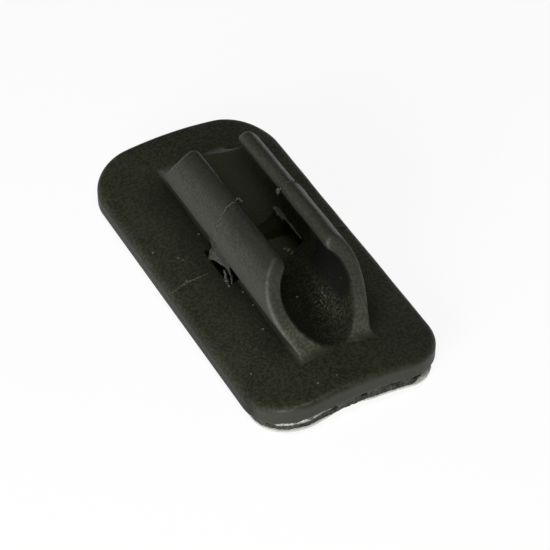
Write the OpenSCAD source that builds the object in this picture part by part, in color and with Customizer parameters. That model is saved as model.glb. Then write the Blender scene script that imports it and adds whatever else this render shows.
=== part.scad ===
// Self-adhesive cable guide: an arched base plate with a round, open-topped channel moulded on it,
// a foam pad under the plate and a release liner under the pad.
// X runs across the channel, Y along it and Z up. The front is at -Y.
// The origin lies under the middle of the plate, level with the liner's lowest edges.

/* [Base plate] */
// Length of the plate, along the channel, mm
plate_l = 40; // [36:0.5:60]
// Width of the plate, across the channel, mm
plate_w = 20; // [18:0.5:30]
// Thickness of the plate, mm
plate_t = 2; // [1.6:0.1:3]
// Corner radius of the plate, seen from above, mm
corner_r = 5; // [3:0.5:7]
// Radius of the plate's hollow underside, mm
arch_r = 33; // [28:0.5:80]
// Rounding of the plate's upper edges, mm
edge_r = 0.4; // [0.2:0.05:0.8]

/* [Channel] */
// Diameter of the cable that the channel grips, mm
cable_d = 6.6; // [5:0.1:7.5]
// Room between the cable and the bore, all round, mm
cable_room = 0.1; // [0:0.05:0.3]
// Wall thickness of the channel's back half, mm
wall = 1.5; // [1.2:0.1:2.2]
// Wall that the front half has over the back half, a step left by the mould, mm
mould_step = 0.1; // [0.05:0.05:0.3]
// Bore radius that the front half has over the back half, a step left by the mould's two cores, mm
bore_step = 0.05; // [0.05:0.05:0.2]
// Width of the mouth between the front half's lips, which reach in a mould step further, mm
mouth_w = 4.4; // [4.1:0.1:5]
// Length of the channel at its foot, mm
channel_l = 30; // [26:0.5:34]
// Slope of the channel's hollow end faces against the plate, at their foot, degrees
end_slope = 28; // [25:1:35]
// Radius of the hollow end faces, which steepen towards the lips, mm
end_r = 13; // [11:0.5:18]
// Height of the bore's floor over the crown of the plate, mm
floor_h = 0.15; // [0.1:0.05:1]
// Rounding between the channel's outside and the plate, mm
foot_r = 0.3; // [0.2:0.05:1]

/* [Window] */
// Length of the window through the plate and the channel's walls, mm
window_l = 5.4; // [3:0.2:8]
// Height of the window's top over the crown of the plate, mm
window_h = 2.1; // [1.5:0.1:3]
// Place of the window's middle along the channel, mm
window_y = 0; // [-1:0.1:1]
// Room that the window leaves beside the channel's outside, mm
window_room = 0.1; // [0.05:0.05:0.5]

/* [Pad and liner] */
// Thickness of the foam pad, mm
pad_t = 0.9; // [0.5:0.1:2]
// Distance from the plate's long sides in to the pad and liner, mm
side_gap = 0.6; // [0.2:0.1:1.5]
// Distance from the plate's ends in to the pad, mm
pad_end_gap = 0.4; // [0.1:0.05:1]
// Corner radius of the pad, mm
pad_corner_r = 4.5; // [2:0.5:6]
// Thickness of the liner, mm
liner_t = 0.2; // [0.1:0.05:0.4]
// Distance from the plate's ends in to the liner, mm
liner_end_gap = 0.2; // [0:0.05:1]
// Corner radius of the liner, mm
liner_corner_r = 4.5; // [2:0.5:6]

/* [Hidden] */
$fn = 96;

// Roundings overlap the faces that they join by this factor, so that they meet them at a definite edge
overlap = 1.02;

// Radii about the arch's axis, which runs along Y: crown of the plate, underside of the pad and of the liner
crown_r = arch_r + plate_t;
pad_under_r = arch_r - pad_t;
liner_under_r = pad_under_r - liner_t;

// Plan sizes of the pad and the liner
pad_w = plate_w - 2 * side_gap;
pad_l = plate_l - 2 * pad_end_gap;
liner_l = plate_l - 2 * liner_end_gap;

// Height of the arch's axis, which puts the liner's lowest edges at Z = 0
axis_z = -sqrt(pow(liner_under_r, 2) - pow(pad_w / 2, 2));

// Bore radius of the back half and height of the bore's axis over the arch's axis
bore_r = cable_d / 2 + cable_room;
bore_z = crown_r + floor_h + bore_r;

// Height over the arch's axis that clears the whole part
clear_z = bore_z + 2 * bore_r;

// The window is as wide as the front half's outside at the window's top, and a little more
front_r = bore_r + bore_step + wall + mould_step;
window_top_z = crown_r + window_h;
window_half_w = sqrt(pow(front_r, 2) - pow(bore_z - window_top_z, 2)) + window_room;

// Turns a drawing in X and Z into a solid along Y, between two stations
module along_y(y0, y1) {
    translate([0, y1, 0]) rotate([90, 0, 0]) linear_extrude(y1 - y0) children();
}

// Upright prism with a rounded-rectangle plan, from the arch's axis upwards
module plan_prism(w, l, r) {
    linear_extrude(clear_z) union() {
        square([w - 2 * r, l], center = true);
        square([w, l - 2 * r], center = true);
        for (x = [-1, 1], y = [-1, 1])
            translate([x * (w / 2 - r), y * (l / 2 - r)]) circle(r);
    }
}

// Layer between two radii about the arch's axis, cut to a rounded-rectangle plan
module arched_layer(r_in, r_out, w, l, r) {
    intersection() {
        along_y(-l, l) difference() {
            circle(r_out, $fn = 360);
            circle(r_in, $fn = 360);
        }
        plan_prism(w, l, r);
    }
}

// What the rounding takes off one long upper edge: the corner outside a circle near top and side
module side_edge_cut() {
    cx = plate_w / 2 - edge_r / overlap;
    cz = sqrt(pow(crown_r - edge_r / overlap, 2) - pow(cx, 2));
    along_y(-plate_l, plate_l) difference() {
        polygon([[cx, cz], [plate_w, cz], [plate_w, clear_z], [cx * clear_z / cz, clear_z]]);
        translate([cx, cz]) circle(edge_r);
    }
}

// What the rounding takes off one end's upper edge: a ring about the arch's axis
module end_edge_cut() {
    centre = [crown_r, plate_l / 2] - [1, 1] * edge_r / overlap;
    rotate([-90, 0, 0]) rotate_extrude($fn = 360) difference() {
        translate(centre) square(4 * edge_r);
        translate(centre) circle(edge_r);
    }
}

// The moulded plate
module plate() {
    difference() {
        arched_layer(arch_r, crown_r, plate_w, plate_l, corner_r);
        for (m = [0, 1]) {
            mirror([m, 0, 0]) side_edge_cut();
            mirror([0, m, 0]) end_edge_cut();
        }
    }
}

// Outline of the channel, in X and Z: a disc of the tube's outside with an open mouth, full-round lips
// and rounded feet, cut off at a third of the plate's thickness
module channel_outline(r, t, mouth) {
    outer_r = r + t;
    lip_x = (mouth + t) / 2;
    lip_z = sqrt(pow(r + t / 2, 2) - pow(lip_x, 2));
    from_arch = crown_r + foot_r / overlap;
    from_bore = outer_r + foot_r / overlap;
    foot_z = (pow(from_arch, 2) - pow(from_bore, 2) + pow(bore_z, 2)) / (2 * bore_z);
    foot_x = sqrt(pow(from_arch, 2) - pow(foot_z, 2));
    difference() {
        union() {
            translate([0, bore_z]) {
                difference() {
                    circle(outer_r);
                    polygon([[0, 0], 2 * [lip_x, lip_z], [2 * lip_x, clear_z],
                             [-2 * lip_x, clear_z], 2 * [-lip_x, lip_z]]);
                }
                for (s = [-1, 1]) translate([s * lip_x, lip_z]) circle(overlap * t / 2);
            }
            difference() {
                polygon([[0, bore_z], [foot_x, foot_z], [0, 0], [-foot_x, foot_z]]);
                for (s = [-1, 1]) translate([s * foot_x, foot_z]) circle(foot_r);
            }
        }
        translate([-plate_w, 0]) square([2 * plate_w, crown_r - plate_t / 3]);
    }
}

// Section of the channel: its outline with the bore taken out
module channel_section(r, t, mouth) {
    difference() {
        channel_outline(r, t, mouth);
        translate([0, bore_z]) circle(r);
    }
}

// The channel's two halves, with hollow end faces about axes along X; the part sunk in the plate
// goes no further than midway from the channel's foot to the plate's end
module channel() {
    reach = (channel_l + plate_l) / 4;
    end_y = channel_l / 2 + end_r * sin(end_slope);
    end_z = crown_r + end_r * cos(end_slope);
    intersection() {
        union() {
            along_y(-plate_l, 0) channel_section(bore_r + bore_step, wall + mould_step, mouth_w);
            along_y(0, plate_l) channel_section(bore_r, wall, mouth_w + 2 * mould_step);
        }
        rotate([90, 0, 90]) linear_extrude(2 * plate_w, center = true) difference() {
            translate([-reach, arch_r]) square([2 * reach, clear_z - arch_r]);
            for (s = [-1, 1]) translate([s * end_y, end_z]) circle(end_r);
        }
    }
}

// Plate and channel as one moulding, with the window cut through
module guide_body() {
    color([0.13, 0.13, 0.11]) translate([0, 0, axis_z]) difference() {
        union() {
            plate();
            channel();
        }
        translate([-window_half_w, window_y - window_l / 2, 0])
            cube([2 * window_half_w, window_l, window_top_z]);
    }
}

// Foam pad, set in from the plate's edges
module foam_pad() {
    color([0.08, 0.08, 0.08]) translate([0, 0, axis_z])
        arched_layer(pad_under_r, arch_r, pad_w, pad_l, pad_corner_r);
}

// Release liner, as wide as the pad and a little longer
module release_liner() {
    color([0.86, 0.85, 0.8]) translate([0, 0, axis_z])
        arched_layer(liner_under_r, pad_under_r, pad_w, liner_l, liner_corner_r);
}

guide_body();
foam_pad();
release_liner();
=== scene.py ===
"""Visual model of a self-adhesive cable guide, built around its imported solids.

X runs across the channel, Y along it and Z up; the front is at -Y.
Sizes in the classes are in millimetres, and meshes are written in metres.
"""

import logging
import math
from dataclasses import dataclass, field, replace
from enum import Enum

import bmesh
import bpy
import numpy as np
from mathutils import Matrix, Vector

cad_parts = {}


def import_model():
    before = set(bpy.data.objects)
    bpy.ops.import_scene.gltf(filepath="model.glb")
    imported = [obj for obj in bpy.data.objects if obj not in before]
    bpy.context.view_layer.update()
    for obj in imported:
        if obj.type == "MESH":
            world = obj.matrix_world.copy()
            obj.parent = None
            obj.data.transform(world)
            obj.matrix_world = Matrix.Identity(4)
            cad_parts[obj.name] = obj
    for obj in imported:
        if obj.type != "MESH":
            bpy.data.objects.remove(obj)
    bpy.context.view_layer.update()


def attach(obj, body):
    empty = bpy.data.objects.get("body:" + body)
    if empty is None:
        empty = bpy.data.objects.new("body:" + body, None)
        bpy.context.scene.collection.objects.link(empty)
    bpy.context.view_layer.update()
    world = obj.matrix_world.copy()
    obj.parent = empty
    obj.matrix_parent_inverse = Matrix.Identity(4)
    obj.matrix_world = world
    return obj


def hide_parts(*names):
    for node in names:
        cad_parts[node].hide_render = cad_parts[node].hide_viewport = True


LOG = logging.getLogger("cable_guide")
MM = 0.001
BODY = "root"
Colour = tuple[float, float, float]
Place = tuple[float, float, float]
Span = tuple[float, float]
Marks = tuple[tuple[float, ...], ...]


class Slot(Enum):
    """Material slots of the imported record."""

    MOULDING = "moulding"
    FOAM = "foam"
    LINER = "liner"


class Side(Enum):
    """The two sides of the channel, by the sign of their X."""

    LEFT = -1
    RIGHT = 1


class End(Enum):
    """The two ends of the channel, by the sign of their Y."""

    FRONT = -1
    BACK = 1


# Curves and grids


def ripple(t: np.ndarray, seed: int, waves: int = 7) -> np.ndarray:
    """Smooth seeded noise: a sum of sines whose pitch rises and whose height falls.

    Args:
        t: places along a line, any shape.
        seed: number that picks the phases.
        waves: how many sines are summed.

    Returns:
        Noise of about -1 to 1 in the shape of t.
    """
    rng = np.random.default_rng(seed)
    order = np.arange(1, waves + 1)
    pitch = order * rng.uniform(0.8, 1.2, waves)
    phase = rng.uniform(0, 2 * np.pi, waves)
    height = 1 / np.sqrt(order)
    angle = 2 * np.pi * np.asarray(t)[..., None] * pitch + phase
    return (np.sin(angle) * height).sum(-1) / height.sum() * 1.8


def smoothstep(low: float, high: float, t: np.ndarray) -> np.ndarray:
    """The usual S-shaped ramp from 0 at low to 1 at high."""
    s = np.clip((np.asarray(t) - low) / (high - low), 0, 1)
    return s * s * (3 - 2 * s)


def arc(centre: Span, radius: float, start: float, stop: float, count: int) -> np.ndarray:
    """Points of a circular arc, without its last one.

    Args:
        centre: the circle's centre.
        radius: the circle's radius.
        start: first angle, radians.
        stop: last angle, radians.
        count: how many points.

    Returns:
        Points, shape (count, 2).
    """
    angle = np.linspace(start, stop, count, endpoint=False)
    return np.stack([centre[0] + radius * np.cos(angle), centre[1] + radius * np.sin(angle)], 1)


def rounded_rectangle(
    half_w: float, half_l: float, radius: float, sides: tuple[int, int], corner: int
) -> np.ndarray:
    """A rounded rectangle, counter-clockwise from the right side: four straights, each with the arc after it.

    Args:
        half_w: half of its width, along X.
        half_l: half of its length, along Y.
        radius: its corner radius.
        sides: points along a long side and along a short side.
        corner: points along a corner.

    Returns:
        Points of the closed line, shape (n, 2).
    """
    cx = half_w - radius
    cy = half_l - radius
    runs = []
    for quarter, (sx, sy) in enumerate([(1, 1), (-1, 1), (-1, -1), (1, -1)]):
        turn = quarter * np.pi / 2
        count = sides[quarter % 2]
        first = np.array([(half_w, -cy), (cx, half_l), (-half_w, cy), (-cx, -half_l)][quarter])
        last = np.array([(half_w, cy), (-cx, half_l), (-half_w, -cy), (cx, -half_l)][quarter])
        runs.append(first + np.linspace(0, 1, count, endpoint=False)[:, None] * (last - first))
        runs.append(arc((sx * cx, sy * cy), radius, turn, turn + np.pi / 2, corner))
    return np.concatenate(runs)


def lift(plan: np.ndarray, z: np.ndarray) -> np.ndarray:
    """Plan points with heights added, shape (..., 3)."""
    return np.concatenate([plan, np.broadcast_to(z, plan.shape[:-1])[..., None]], -1)


class Shell:
    """Grid surfaces that are welded into one closed mesh."""

    WELD = 2e-7

    def __init__(self) -> None:
        """Starts with no surface."""
        self.points: list[np.ndarray] = []
        self.quads: list[np.ndarray] = []
        self.total = 0

    def add(
        self, grid: np.ndarray, wrap: tuple[bool, bool] = (False, False), keep: np.ndarray | None = None
    ) -> "Shell":
        """Adds a grid of points as quads between neighbouring rows and columns.

        Args:
            grid: points in mm, shape (rows, columns, 3).
            wrap: whether the last row joins the first, and the last column the first.
            keep: which quads are kept, one value per quad, or None for all of them.

        Returns:
            This shell.
        """
        rows, columns = grid.shape[:2]
        index = self.total + np.arange(rows * columns).reshape(rows, columns)
        if wrap[0]:
            index = np.concatenate([index, index[:1]], 0)
        if wrap[1]:
            index = np.concatenate([index, index[:, :1]], 1)
        quads = np.stack([index[:-1, :-1], index[1:, :-1], index[1:, 1:], index[:-1, 1:]], -1)
        self.quads.append(quads[keep] if keep is not None else quads.reshape(-1, 4))
        self.points.append(grid.reshape(-1, 3))
        self.total += rows * columns
        return self

    def tube(self, path: np.ndarray, across: np.ndarray, rise: np.ndarray, sides: int = 8) -> "Shell":
        """Adds a closed bead: an ellipse carried along a path, drawn to a point at both ends.

        Args:
            path: points of the middle line, shape (n, 3).
            across: half width vector at each point, shape (n, 3).
            rise: half height vector at each point, shape (n, 3).
            sides: points round the ellipse.

        Returns:
            This shell.
        """
        turn = np.linspace(0, 2 * np.pi, sides, endpoint=False)
        ring = across[:, None] * np.cos(turn)[:, None] + rise[:, None] * np.sin(turn)[:, None]
        ring[[0, -1]] = 0
        return self.add(path[:, None] + ring, (False, True))

    def to_object(self, name: str, sharp: float = 35.0) -> bpy.types.Object:
        """Welds the surfaces, turns their faces outwards and makes an object.

        Args:
            name: the piece's name.
            sharp: angle between faces from which an edge is shown sharp, degrees.

        Returns:
            The new object, linked to the scene.
        """
        mesh = bpy.data.meshes.new(name)
        mesh.from_pydata((np.concatenate(self.points) * MM).tolist(), [], np.concatenate(self.quads).tolist())
        work = bmesh.new()
        work.from_mesh(mesh)
        bmesh.ops.remove_doubles(work, verts=work.verts, dist=self.WELD)
        bmesh.ops.dissolve_degenerate(work, edges=work.edges, dist=self.WELD / 2)
        bmesh.ops.recalc_face_normals(work, faces=work.faces)
        loose = sum(not e.is_manifold for e in work.edges)
        work.to_mesh(mesh)
        work.free()
        mesh.polygons.foreach_set("use_smooth", np.ones(len(mesh.polygons), bool))
        mesh.set_sharp_from_angle(angle=math.radians(sharp))
        piece = bpy.data.objects.new(name, mesh)
        bpy.context.scene.collection.objects.link(piece)
        LOG.info("%s: %d faces, %d open edges", name, len(mesh.polygons), loose)
        return piece


# Sizes that several pieces share


@dataclass(frozen=True)
class Arch:
    """The shared arch of plate, pad and liner: layers about one axis along Y."""

    under_plate: float = 33.0
    plate: float = 2.0
    pad: float = 0.9
    liner: float = 0.2
    pad_half_w: float = 9.4

    @property
    def crown(self) -> float:
        """Radius of the plate's top."""
        return self.under_plate + self.plate

    @property
    def under_pad(self) -> float:
        """Radius of the pad's underside."""
        return self.under_plate - self.pad

    @property
    def under_liner(self) -> float:
        """Radius of the liner's underside."""
        return self.under_pad - self.liner

    @property
    def axis_z(self) -> float:
        """Height of the arch's axis, with the liner's lowest edges at 0."""
        return -math.sqrt(self.under_liner**2 - self.pad_half_w**2)

    def height(self, x: np.ndarray, radius: float) -> np.ndarray:
        """Height of the layer of a radius at X."""
        return np.sqrt(radius**2 - np.asarray(x) ** 2) + self.axis_z


@dataclass(frozen=True)
class Window:
    """The opening through plate, floor and walls at mid-length."""

    half_w: float = 4.94
    front: float = -2.7
    back: float = 2.7
    top: float = 6.616
    corner: float = 0.35


# Shader maths


class Signal:
    """A shader output whose arithmetic adds Math nodes."""

    def __init__(self, net: "Net", socket: bpy.types.NodeSocket) -> None:
        """Wraps a socket of a net."""
        self.net = net
        self.socket = socket

    def maths(self, operation: str, first: "Signal | float", second: "Signal | float") -> "Signal":
        """Adds a Math node of an operation on two values."""
        return self.net.node("ShaderNodeMath", {"operation": operation}, {0: first, 1: second})

    def __add__(self, other: "Signal | float") -> "Signal":
        """Sum of two values."""
        return self.maths("ADD", self, other)

    __radd__ = __add__

    def __sub__(self, other: "Signal | float") -> "Signal":
        """This value less another."""
        return self.maths("SUBTRACT", self, other)

    def __rsub__(self, other: float) -> "Signal":
        """A number less this value."""
        return self.maths("SUBTRACT", other, self)

    def __mul__(self, other: "Signal | float") -> "Signal":
        """Product of two values."""
        return self.maths("MULTIPLY", self, other)

    __rmul__ = __mul__

    def at_least(self, other: "Signal | float") -> "Signal":
        """The larger of two values."""
        return self.maths("MAXIMUM", self, other)

    def ramp(self, low: float, high: float, first: float = 0.0, last: float = 1.0) -> "Signal":
        """A smooth ramp over a span of this value.

        Args:
            low: value at which the ramp starts.
            high: value at which it ends.
            first: result at the start.
            last: result at the end.

        Returns:
            The ramped value, clamped.
        """
        kind = {"interpolation_type": "SMOOTHSTEP"}
        return self.net.node("ShaderNodeMapRange", kind, {0: self, 1: low, 2: high, 3: first, 4: last})


class Net:
    """A material's or a world's node tree, filled from Python."""

    def __init__(self, tree: bpy.types.NodeTree) -> None:
        """Takes a node tree and empties it."""
        self.tree = tree
        self.tree.nodes.clear()

    def node(self, kind: str, settings: dict, inputs: dict, output: int | str = 0) -> Signal:
        """Adds a node.

        Args:
            kind: the node's type.
            settings: properties that are set first; stops sets a ramp's stops.
            inputs: a value or a Signal for each socket, by name or number.
            output: the output that is wanted, by name or number.

        Returns:
            That output.
        """
        made = self.tree.nodes.new(kind)
        for key, value in settings.items():
            if key == "stops":
                self.set_stops(made.color_ramp, value)
            else:
                setattr(made, key, value)
        for key, value in inputs.items():
            if isinstance(value, Signal):
                self.tree.links.new(value.socket, made.inputs[key])
            else:
                made.inputs[key].default_value = value
        return Signal(self, made.outputs[output])

    @staticmethod
    def set_stops(ramp: bpy.types.ColorRamp, stops: Marks) -> None:
        """Sets the grey stops of a colour ramp.

        Args:
            ramp: the ramp.
            stops: place and grey of each stop, in order.
        """
        while len(ramp.elements) < len(stops):
            ramp.elements.new(0.5)
        for element, (place, grey) in zip(ramp.elements, stops):
            element.position = place
            element.color = (grey, grey, grey, 1)

    def output(self, kind: str, shader: Signal) -> None:
        """Links a shader to the tree's output of a kind."""
        end = self.tree.nodes.new(kind)
        self.tree.links.new(shader.socket, end.inputs["Surface"])

    def split(self, vector: Signal, axis: str) -> Signal:
        """One coordinate of a vector."""
        return self.node("ShaderNodeSeparateXYZ", {}, {0: vector}, axis)

    def vectors(self, operation: str, first: Signal, second: Signal | Place = (0, 0, 0)) -> Signal:
        """Adds a Vector Math node of an operation on two vectors."""
        return self.node("ShaderNodeVectorMath", {"operation": operation}, {0: first, 1: second})

    def length(self, vector: Signal) -> Signal:
        """Length of a vector."""
        return self.node("ShaderNodeVectorMath", {"operation": "LENGTH"}, {0: vector}, "Value")

    def mix(
        self, factor: Signal, first: Signal | Colour, second: Signal | Colour, label: str = ""
    ) -> Signal:
        """Mixes two colours.

        Args:
            factor: share of the second.
            first: the first colour.
            second: the second colour.
            label: what the node is for.

        Returns:
            The mixed colour.
        """
        first, second = (c if isinstance(c, Signal) else (*c, 1) for c in (first, second))
        settings = {"data_type": "RGBA", "label": label}
        return self.node("ShaderNodeMix", settings, {"Factor": factor, 6: first, 7: second}, 2)


class Surface(Net):
    """A new material's net, with the object's own coordinates in mm."""

    def __init__(self, name: str) -> None:
        """Makes a material and its coordinates.

        Args:
            name: the material's name.
        """
        self.material = bpy.data.materials.new(name)
        self.material.use_nodes = True
        super().__init__(self.material.node_tree)
        metres = self.node("ShaderNodeTexCoord", {}, {}, "Object")
        self.place = self.vectors("MULTIPLY", metres, (1 / MM,) * 3)

    def mask(self, bands: "tuple[Band, ...]") -> Signal:
        """Product of the ramps of bands."""
        first, *others = (measure.signal(self).ramp(*ends) for measure, *ends in bands)
        return math.prod(others, start=first)

    def lay(self, colour: Signal, rough: Signal, layers: "tuple[Layer, ...]", grains: Signal) -> dict:
        """Lays shades over a colour and a roughness.

        Args:
            colour: the colour below.
            rough: the roughness below.
            layers: the shades, in order.
            grains: 1 where a shade's light colour shows.

        Returns:
            The Principled shader's sockets that they go to.
        """
        for layer in layers:
            mask = self.mask(layer.bands)
            colour = self.mix(mask, colour, layer.shade(self, grains), layer.purpose)
            if layer.matt:
                rough = rough + mask * layer.matt
        return {"Base Color": colour, "Roughness": rough}

    def bump(self, height: Signal, strength: float, depth: float) -> Signal:
        """A bumped normal, from a height of 0 to 1 and the depth in mm that 1 stands for."""
        sockets = {"Strength": strength, "Distance": depth * MM, "Height": height}
        return self.node("ShaderNodeBump", {}, sockets, "Normal")

    def finish(self, sockets: dict) -> bpy.types.Material:
        """Ends the net in a Principled shader with these sockets, and gives the material."""
        self.output("ShaderNodeOutputMaterial", self.node("ShaderNodeBsdfPrincipled", {}, sockets))
        return self.material


# Measures, which say where a shade lies


class Axis(Enum):
    """A coordinate in mm."""

    X = "X"
    Y = "Y"
    Z = "Z"

    def signal(self, on: Surface) -> Signal:
        """The coordinate on a surface."""
        return on.split(on.place, self.value)


@dataclass(frozen=True)
class Noise:
    """Fractal noise of 0 to 1: its coarsest feature in mm, its octaves and their weight."""

    size: float
    detail: float = 0.0
    rough: float = 0.5

    def signal(self, on: Surface) -> Signal:
        """The noise on a surface."""
        sockets = {"Scale": 1 / self.size, "Detail": self.detail, "Roughness": self.rough}
        return on.node("ShaderNodeTexNoise", {}, {"Vector": on.place, **sockets})


@dataclass(frozen=True)
class Spot:
    """Distance in mm from a point, or from a line or a plane if axes have no weight."""

    point: Place = (0.0, 0.0, 0.0)
    weights: Place = (1.0, 1.0, 1.0)

    def signal(self, on: Surface) -> Signal:
        """The distance on a surface."""
        away = on.vectors("SUBTRACT", on.place, self.point)
        return on.length(on.vectors("MULTIPLY", away, self.weights))


@dataclass(frozen=True)
class RaggedSpot(Spot):
    """Distance from a point, made uneven by noise of some height."""

    noise: Noise = Noise(0.25, 1)
    height: float = 0.1

    def signal(self, on: Surface) -> Signal:
        """The uneven distance on a surface."""
        return super().signal(on) + (self.noise.signal(on) - 0.5) * self.height


@dataclass(frozen=True)
class Rim:
    """Distance in mm out from a rounded rectangle's corner centres, which is its corner radius at its rim."""

    corner_at: Span
    tall: float = 1000.0

    def signal(self, on: Surface) -> Signal:
        """The distance on a surface."""
        past = on.vectors("SUBTRACT", on.vectors("ABSOLUTE", on.place), (*self.corner_at, self.tall))
        return on.length(on.vectors("MAXIMUM", past))


Band = tuple[Axis | Noise | Spot | Rim, float, float, float, float]


@dataclass(frozen=True)
class Layer:
    """A shade that is laid over a finish, and what it adds to the roughness.

    Each band is a measure, the two values between which it ramps, and the share at both. The shares are
    multiplied. A shade with a light colour takes that where the grain stands up.
    """

    purpose: str
    colour: Colour
    bands: tuple[Band, ...]
    light: Colour | None = None
    matt: float = 0.0

    def shade(self, on: Surface, grains: Signal) -> Signal | Colour:
        """The shade on a surface with these grains."""
        return on.mix(grains, self.colour, self.light) if self.light else self.colour


def crumbs(marks: Marks) -> tuple[Layer, ...]:
    """Layers of pale crumbs with ragged rims.

    Args:
        marks: X, Y, Z and radius of each.

    Returns:
        A layer for each crumb.
    """
    bands = [(RaggedSpot(tuple(at), height=r), 0.4 * r, r, 0.9, 0) for *at, r in marks]
    return tuple(Layer("crumb", (0.10, 0.10, 0.09), (band,)) for band in bands)


# Finishes


@dataclass(frozen=True)
class MouldedPlastic:
    """Black soft plastic with a spark-eroded grain, paler where the grain stands up, and its shades.

    The grain's height is multiplied by the fade, and pits are added to it where they are let in.
    """

    name: str
    dark: Colour
    light: Colour
    grain: float
    grain_depth: float
    roughness: float = 0.5
    shine: float = 0.35
    contrast: float = 0.64
    layers: tuple[Layer, ...] = ()
    fade: tuple[Band, ...] = ()
    pitted: tuple[Band, ...] = ()
    pit: Noise = Noise(0.1875)
    grain_span: Span = (0.36, 0.66)
    blotches: tuple[Noise, ...] = (Noise(3.4, 3, 0.6), Noise(11.0, 2))
    blotch_span: Span = (0.3, 0.7)
    blotch_share: float = 0.18
    rough_span: float = 0.06

    def material(self) -> bpy.types.Material:
        """Builds the material.

        Returns:
            The material, on Object coordinates.
        """
        on = Surface(self.name)
        fine = Noise(self.grain).signal(on)
        grains = fine.ramp(*self.grain_span)
        even = 1 - len(self.blotches) * self.blotch_share - self.contrast
        tone = grains * self.contrast + even / 2
        for blotch in self.blotches:
            tone = tone + blotch.signal(on).ramp(*self.blotch_span) * self.blotch_share
        height = fine
        if self.fade:
            height = height * on.mask(self.fade)
        if self.pitted:
            height = height + on.mask(self.pitted) * self.pit.signal(on)
        colour = on.mix(tone, self.dark, self.light)
        rough = tone.ramp(0.0, 1.0, self.roughness + self.rough_span, self.roughness - self.rough_span)
        bump = on.bump(height, 1.0, self.grain_depth)
        dressed = on.lay(colour, rough, self.layers, grains)
        return on.finish({**dressed, "Specular IOR Level": self.shine, "Normal": bump})


@dataclass(frozen=True)
class CutFoam:
    """Black closed-cell foam with a torn, cellular cut edge, with painted shade that makes it evenly dark
    under the window.
    """

    name: str = "cut_foam"
    dark: Colour = (0.004, 0.004, 0.003)
    light: Colour = (0.052, 0.053, 0.044)
    layers: tuple[Layer, ...] = ()
    cell: float = 0.35
    cell_span: Span = (0.15, 0.6)
    cell_share: float = 0.4
    shred: Noise = Noise(0.9, 4, 0.6)
    shred_span: Span = (0.35, 0.7)
    shine: float = 0.15
    roughness: Span = (0.85, 0.6)
    depth: float = 0.06

    def material(self) -> bpy.types.Material:
        """Builds the material.

        Returns:
            The material, on Object coordinates.
        """
        on = Surface(self.name)
        cells = on.node("ShaderNodeTexVoronoi", {}, {"Vector": on.place, "Scale": 1 / self.cell}, "Distance")
        shreds = self.shred.signal(on)
        tone = cells.ramp(*self.cell_span) * self.cell_share
        tone = tone + shreds.ramp(*self.shred_span) * (1 - self.cell_share)
        rough = tone.ramp(0.0, 1.0, *self.roughness)
        dressed = on.lay(on.mix(tone, self.dark, self.light), rough, self.layers, tone)
        bump = on.bump(1 - cells + shreds, 0.9, self.depth)
        return on.finish({**dressed, "Specular IOR Level": self.shine, "Normal": bump})


@dataclass(frozen=True)
class LinerFilm:
    """Pale siliconised film, glossy and a little cloudy."""

    name: str = "liner_film"
    pale: Colour = (0.74, 0.73, 0.69)
    cloudy: Colour = (0.60, 0.59, 0.55)
    roughness: Span = (0.22, 0.42)
    cloud: Noise = Noise(1.6, 3, 0.55)
    cloud_span: Span = (0.35, 0.7)
    crease: Noise = Noise(0.5, 2)
    crease_share: float = 0.4
    depth: float = 0.03
    layers: tuple[Layer, ...] = ()

    def material(self) -> bpy.types.Material:
        """Builds the material.

        Returns:
            The material, on Object coordinates.
        """
        on = Surface(self.name)
        cloud = self.cloud.signal(on)
        crease = self.crease.signal(on)
        rough = crease.ramp(0.2, 0.8, *self.roughness)
        colour = on.mix(cloud.ramp(*self.cloud_span), self.pale, self.cloudy)
        dressed = on.lay(colour, rough, self.layers, cloud)
        return on.finish({**dressed, "Normal": on.bump(cloud + crease * self.crease_share, 0.5, self.depth)})


# Shades, and the finishes of the pieces

ACROSS = Spot(weights=(1, 0, 0))
ALONG = Spot(weights=(0, 1, 0))
OFF_ARCH = Spot((0, 0, Arch().axis_z), (1, 0, 1))
OFF_BORE = Spot((0.08, 0, 8.066), (1, 0, 1))
IN_BORE = (OFF_BORE, 3.52, 3.74, 1, 0)
ON_SIDE = (OFF_ARCH, 34.4, 34.9, 0.9, 0)
# Painted highlights: pale glints of the grain, laid round a spot where a lamp's reflection falls.
PAINTED_GLINT = (0.045, 0.0465, 0.033)
GLINT_SPAN = (0.54, 0.76, 0, 1)
# Painted shade: the cut faces inside the window are darkened, as the window's inside lies in shade.
CUT_FACE_SHADE = Layer(
    "window's cut face", (0.008, 0.0085, 0.003),
    ((ACROSS, 4.95, 4.98, 1, 0), (ALONG, 2.72, 2.75, 1, 0), (Axis.Z, 6.55, 6.65, 1, 0)),
)
PLATE_LAYERS = (
    # Painted shade: the plate is darkened beside the channel's foot, where the channel shades it.
    Layer(
        "shade beside the channel", (0.0045, 0.0048, 0.0025),
        ((ACROSS, 4.4, 8.0, 0.65, 0), (ALONG, 11.8, 15.8, 1, 0)),
    ),
    # Painted highlights: glints on the plate's grain at its front left.
    Layer(
        "glints", PAINTED_GLINT,
        ((Spot((-6.3, -10.5, 0), (1, 0.45, 0)), 0.4, 4.0, 0.3, 0.015), (Noise(0.2025), *GLINT_SPAN)),
    ),
    # Painted light and shade: the plate's sides are painted lighter, and its left side darker.
    Layer("side", (0.0275, 0.0293, 0.0225), (ON_SIDE, (Axis.X, -9.95, -9.5, 0, 1))),
    Layer("left side", (0.006, 0.0065, 0.0035), (ON_SIDE, (Axis.X, -9.95, -9.5, 1, 0))),
    CUT_FACE_SHADE,
)
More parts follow.
